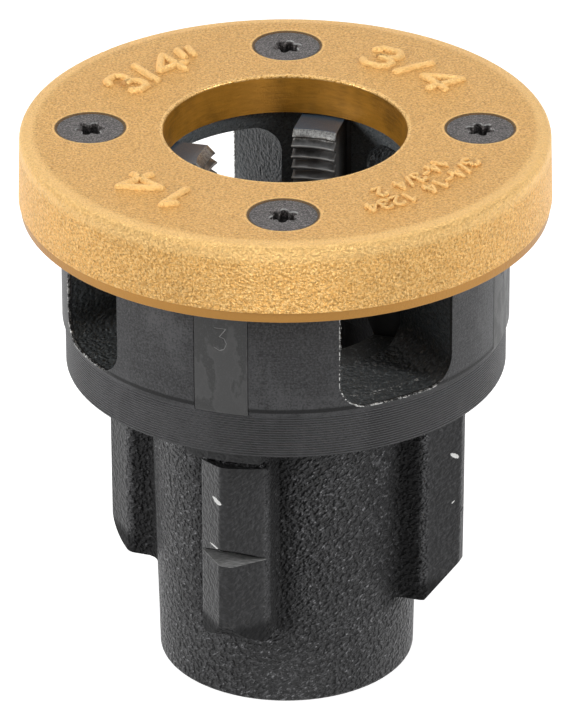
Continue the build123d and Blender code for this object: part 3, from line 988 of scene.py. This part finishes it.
class DIEHEAD_OT_burrs(bpy.types.Operator):
    """Small burrs along the left and lower edges of the windows"""
    bl_idname = "die_head.burrs"
    bl_label = "Burrs"

    def edge_line(self, azimuth, width):
        """Points along a window's left and lower edge on the turned head, in metres."""
        half = width / 2
        corner = SILL_CORNER
        flat = [(-half, BURR_TOP), (-half, SILL + corner)]
        for index in range(1, 7):
            turn = math.radians(180 + 15 * index)
            flat.append((-half + corner * (1 + math.cos(turn)), SILL + corner * (1 + math.sin(turn))))
        flat.append((half - corner, SILL))
        points = []
        for across, height in divide(flat, BURR_PIECE):
            radius = HEAD_RADIUS - 0.03
            level = outwards(azimuth) * math.sqrt(radius ** 2 - across ** 2) + sideways(azimuth) * across
            points.append((level + Vector((0, 0, height))) * MM)
        return points

    def execute(self, context):
        sizes = context.scene.die_head_sizes
        mesh = bpy.data.meshes.new("burrs")
        verts, edges = [], []
        for azimuth, width in WINDOWS:
            for turn in (0, 180):
                line = self.edge_line(azimuth + turn, width)
                first = len(verts)
                verts.extend(line)
                edges.extend((first + index, first + index + 1) for index in range(len(line) - 1))
        mesh.from_pydata(verts, edges, [])
        burrs = new_object("burrs", mesh)

        grower = Grower("burr_scatter")
        grower.take("Spacing", "NodeSocketFloat", sizes.burr_spacing)
        grower.take("Largest", "NodeSocketFloat", sizes.burr_size)
        grower.take("Seed", "NodeSocketInt", sizes.burr_seed)
        given = grower.given
        line = grower.add("GeometryNodeMeshToCurve", None, {"Mesh": given("Geometry")})
        even = grower.add("GeometryNodeResampleCurve", {"mode": "LENGTH"}, {
            "Curve": line, "Length": given("Spacing")})
        wander = grower.random((-BURR_WANDER * MM,) * 3, (BURR_WANDER * MM,) * 3)
        moved = grower.add("GeometryNodeSetPosition", None, {"Geometry": even, "Offset": wander})
        chip = grower.add("GeometryNodeMeshIcoSphere", None, {"Radius": 0.5, "Subdivisions": 1})
        turn = grower.random((0.0,) * 3, (BURR_TURN,) * 3)
        scaled = grower.add("ShaderNodeVectorMath", {"operation": "SCALE"}, {
            0: grower.random(*BURR_SHARES), "Scale": given("Largest")})
        chips = grower.add("GeometryNodeInstanceOnPoints", None, {
            "Points": moved, "Instance": chip, "Rotation": turn, "Scale": scaled})
        grower.finish(burrs, chips, burr_metal())
        settle_in(burrs, "black_iron")
        return {"FINISHED"}


class DIEHEAD_OT_cover(bpy.types.Operator):
    """Painted cover with rounded edges"""
    bl_idname = "die_head.cover"
    bl_label = "Cover"

    def execute(self, context):
        def weigh(first, last):
            middle = (first + last) / 2
            if middle.z > COVER_TOP - 0.1 and math.hypot(middle.x, middle.y) < FLAT_RADIUS:
                return 1.0
            return 0.3 if middle.z < COVER_BOTTOM + 0.1 else 0.0

        cover = merged_copy("cover", "cover_casting")
        weigh_edges(cover, weigh)
        round_edges(cover, context.scene.die_head_sizes.cast_edge, 3)
        dress(cover, gold_paint())
        settle_in(cover, "gold_paint", "cover")
        return {"FINISHED"}


class DIEHEAD_OT_marks(bpy.types.Operator):
    """Raised size marks and small numbers on the cover"""
    bl_idname = "die_head.marks"
    bl_label = "Marks"

    def execute(self, context):
        sizes = context.scene.die_head_sizes
        half, relief = sizes.mark_stroke / 2, sizes.mark_relief
        ball = (half ** 2 + relief ** 2) / (2 * relief)
        foot, height = sizes.mark_foot / MM, sizes.mark_height / MM
        large = []
        for glyph, start, end in LARGE_MARKS:
            large.extend(top_strokes(glyph, start, end, foot + MARK_MARGIN, height - 2 * MARK_MARGIN))
        small = []
        for row_foot, begin, text in SMALL_ROWS:
            for index, glyph in enumerate(text):
                if glyph != " ":
                    start = begin - index * SMALL_PITCH
                    small.extend(top_strokes(glyph, start, start - SMALL_WIDTH, row_foot, SMALL_HEIGHT))
        for name, strokes, radius, rise in (
            ("large_marks", large, ball, relief),
            ("small_marks", small, SMALL_ROUND * MM, SMALL_RISE * MM),
        ):
            lines = []
            for stroke in strokes:
                line = [on_axis(azimuth, reach, COVER_TOP) for azimuth, reach in stroke]
                lines.append([point - Vector((0, 0, radius - rise)) for point in line])
            mesh = stroke_mesh(name, lines, radius * 2)
            piece = new_object(name, mesh)
            dress(piece, gold_paint(raised=True))
            settle_in(piece, "gold_paint")
        return {"FINISHED"}


class DIEHEAD_OT_dies(bpy.types.Operator):
    """Four dies with fine edges and a number stamped into each outer end"""
    bl_idname = "die_head.dies"
    bl_label = "Dies"

    def stamp(self, context, index):
        """Cutter for the number on a die's outer end."""
        glyph = ("1", "2", "flat 3", "4")[index]
        middle = DIE_AZIMUTHS[index] + STAMP_SHIFT
        lines = []
        for stroke in STROKES[glyph]:
            line = []
            for u, v in divide(stroke, STAMP_PIECE):
                azimuth = middle + (u - 0.5) * STAMP_WIDTH
                line.append(on_axis(azimuth, HEAD_RADIUS + 0.02, STAMP_FOOT + v * STAMP_HEIGHT))
            lines.append(line)
        mesh = stroke_mesh("stamp", lines, context.scene.die_head_sizes.stamp_stroke)
        return new_object("stamp", mesh)

    def execute(self, context):
        for index, azimuth in enumerate(DIE_AZIMUTHS):
            name = f"die_{index + 1}"
            die = merged_copy(name, f"chaser_{index + 1}")
            weigh_edges(die, lambda first, last: 1.0)
            round_edges(die, DIE_EDGE * MM, 1)
            cutter = self.stamp(context, index)
            carve = die.modifiers.new("stamp", "BOOLEAN")
            carve.operation = "DIFFERENCE"
            carve.object = cutter
            carve.use_self = True
            settle(die)
            shade_smooth(die)
            bpy.data.objects.remove(cutter)
            dress(die, die_steel(azimuth))
            settle_in(die, "tool_steel", name)
        return {"FINISHED"}


class DIEHEAD_OT_screws(bpy.types.Operator):
    """Four cover screws, each turned by its own amount"""
    bl_idname = "die_head.screws"
    bl_label = "Screws"

    def execute(self, context):
        template = merged_copy("cover_screws", "screw_template")
        grid = bmesh.new()
        grid.from_mesh(template.data)
        front = Vector((0, -SCREW_CIRCLE * MM))
        others = [vert for vert in grid.verts if (vert.co.xy - front).length > 2 * SCREW_HEAD * MM]
        bmesh.ops.delete(grid, geom=others, context="VERTS")
        bmesh.ops.translate(grid, verts=grid.verts, vec=(0, SCREW_CIRCLE * MM, 0))
        grid.to_mesh(template.data)
        grid.free()
        weigh_edges(template, lambda first, last: 1.0)
        round_edges(template, SCREW_EDGE * MM, 2)

        screws = new_object("screws", bpy.data.meshes.new("screws"))
        grower = Grower("screw_circle")
        grower.take("Screw", "NodeSocketObject", template)
        grower.take("Circle radius", "NodeSocketFloat", SCREW_CIRCLE * MM)
        grower.take("Count", "NodeSocketInt", SCREW_COUNT)
        grower.take("Seed", "NodeSocketInt", SCREW_SEED)
        given = grower.given
        circle = grower.add("GeometryNodeMeshCircle", None, {
            "Vertices": given("Count"), "Radius": given("Circle radius")})
        screw = grower.add(
            "GeometryNodeObjectInfo", {"transform_space": "ORIGINAL"}, {"Object": given("Screw")}, "Geometry")
        turn = grower.random((0.0,) * 3, (0.0, 0.0, SCREW_TURN))
        placed = grower.add("GeometryNodeInstanceOnPoints", None, {
            "Points": circle, "Instance": screw, "Rotation": turn})
        grower.finish(screws, placed, screw_steel())
        bpy.data.objects.remove(template)
        settle_in(screws, "screw_steel", "cover_screws")
        return {"FINISHED"}


OPERATORS = (
    DIEHEAD_OT_stage,
    DIEHEAD_OT_body,
    DIEHEAD_OT_burrs,
    DIEHEAD_OT_cover,
    DIEHEAD_OT_marks,
    DIEHEAD_OT_dies,
    DIEHEAD_OT_screws,
)


class DIEHEAD_PT_panel(bpy.types.Panel):
    """Steps that dress the die head"""
    bl_idname = "DIEHEAD_PT_panel"
    bl_label = "Die Head"
    bl_space_type = "VIEW_3D"
    bl_region_type = "UI"
    bl_category = "Die Head"

    def draw(self, context):
        for operator in OPERATORS:
            self.layout.operator(operator.bl_idname)


CLASSES = (DieHeadSizes, DieHeadColours, DieHeadStage, *OPERATORS, DIEHEAD_PT_panel)


def register():
    for cls in CLASSES:
        bpy.utils.register_class(cls)
    bpy.types.Scene.die_head_sizes = PointerProperty(type=DieHeadSizes)
    bpy.types.Scene.die_head_colours = PointerProperty(type=DieHeadColours)
    bpy.types.Scene.die_head_stage = PointerProperty(type=DieHeadStage)


def unregister():
    del bpy.types.Scene.die_head_sizes
    del bpy.types.Scene.die_head_colours
    del bpy.types.Scene.die_head_stage
    for cls in reversed(CLASSES):
        bpy.utils.unregister_class(cls)


def main():
    register()
    bpy.ops.die_head.stage()
    bpy.ops.die_head.body()
    bpy.ops.die_head.burrs()
    bpy.ops.die_head.cover()
    bpy.ops.die_head.marks()
    bpy.ops.die_head.dies()
    bpy.ops.die_head.screws()


if __name__ == "__main__":
    main()
